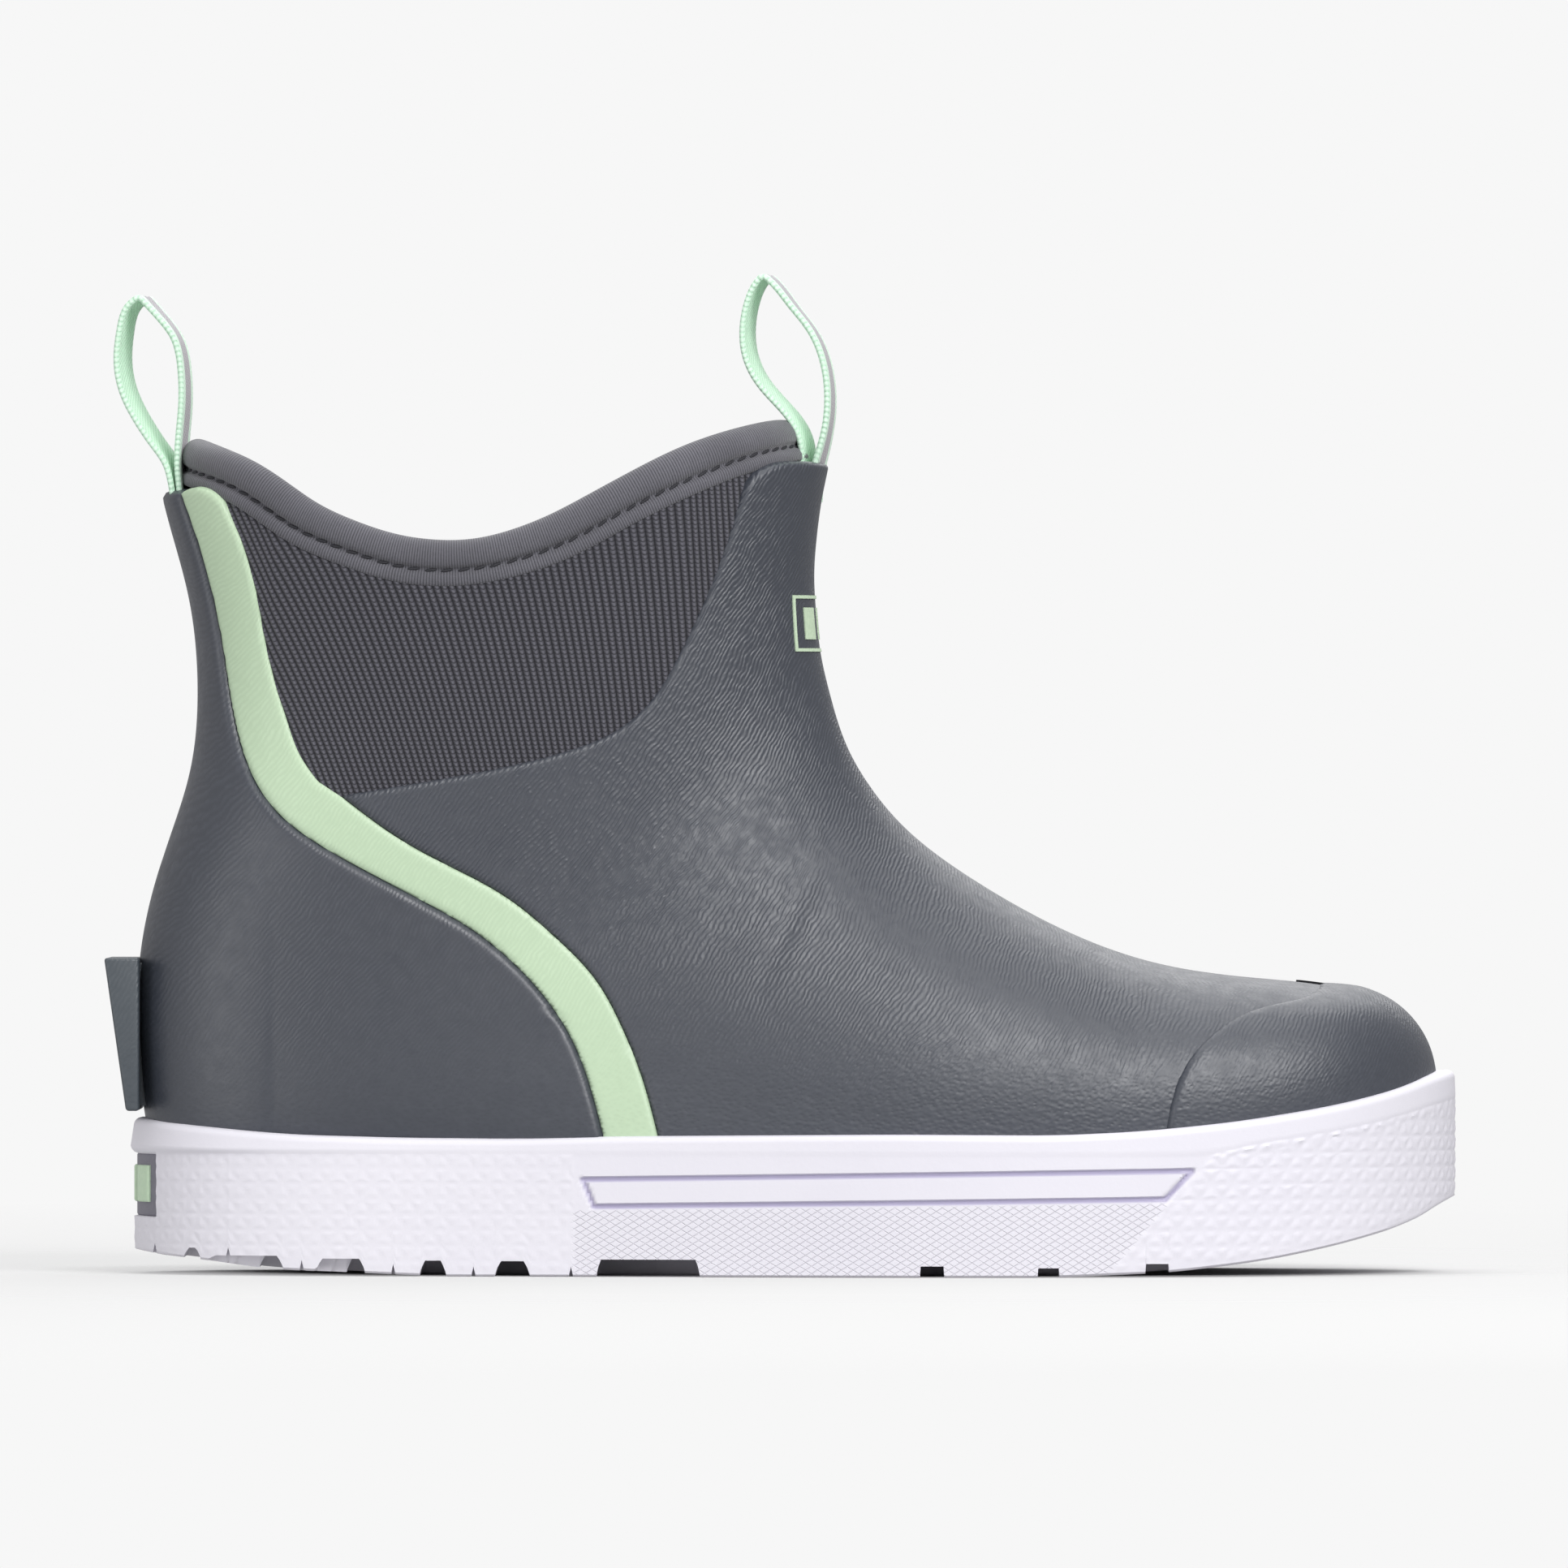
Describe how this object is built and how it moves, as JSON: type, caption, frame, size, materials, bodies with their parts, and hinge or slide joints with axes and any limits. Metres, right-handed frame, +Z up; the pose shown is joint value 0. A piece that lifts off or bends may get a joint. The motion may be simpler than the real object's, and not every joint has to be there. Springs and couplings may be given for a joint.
{
  "type": "deck boot",
  "caption": "Ankle-high waterproof deck boot with knit side panels, a white cup sole, a rolled collar and two webbing pull loops.",
  "frame": {"origin": "on the ground, in the middle of the boot's bounding box", "axes": "+X to the toe, +Y to the wearer's left, which is the inner side of this right boot, +Z up"},
  "size_m": [0.298, 0.1062, 0.2209],
  "materials": {
    "sole_rubber": "matt moulded",
    "badge_rubber": "matt",
    "accent_rubber": "satin, fine grain",
    "upper_rubber": "satin, pebbled grain",
    "sole_foam": "closed-cell foam",
    "shank_steel": "spring steel",
    "board_fibre": "pressed fibre board",
    "knit_fabric": "ribbed stretch knit",
    "binding_fabric": "jersey over foam",
    "lining_fabric": "neoprene with jersey face",
    "stiffener_plastic": "thermoplastic sheet",
    "footbed_foam": "soft foam",
    "footbed_fabric": "brushed jersey",
    "webbing": "woven webbing"
  },
  "bodies": {
    "boot": {"outsole": "sole_rubber", "heel_badge_plate": "badge_rubber", "heel_badge_mark": "accent_rubber", "midsole_foam": "sole_foam", "arch_shank": "shank_steel", "lasting_board": "board_fibre", "vamp_shell": "upper_rubber", "heel_shell": "upper_rubber", "toe_cap": "upper_rubber", "heel_kick": "upper_rubber", "stripe_lateral": "accent_rubber", "stripe_medial": "accent_rubber", "shaft_print": "accent_rubber", "gore_lateral": "knit_fabric", "gore_medial": "knit_fabric", "collar_binding": "binding_fabric", "bootie_liner": "lining_fabric", "toe_puff": "stiffener_plastic", "heel_counter": "stiffener_plastic", "front_loop_tail": "webbing", "rear_loop_tail": "webbing"},
    "front_loop": {"front_pull_loop": "webbing"},
    "rear_loop": {"rear_pull_loop": "webbing"},
    "footbed": {"footbed_foam": "footbed_foam", "footbed_cover": "footbed_fabric"}
  },
  "joints": [
    {"name": "front_loop_bend", "type": "hinge", "parent": "boot", "child": "front_loop", "pos_m": [0.0079, 0, 0.1818], "axis": [0.1736, 0.9848, 0], "range_deg": [0, 50], "stiffness_Nm_per_rad": 0.01},
    {"name": "rear_loop_bend", "type": "hinge", "parent": "boot", "child": "rear_loop", "pos_m": [-0.1342, 0, 0.1776], "axis": [-0.1736, -0.9848, 0], "range_deg": [0, 50], "stiffness_Nm_per_rad": 0.01},
    {"name": "footbed_lift", "type": "hinge", "parent": "boot", "child": "footbed", "pos_m": [0.1, 0, 0.0248], "axis": [0, 1, 0], "range_deg": [0, 5]}
  ]
}
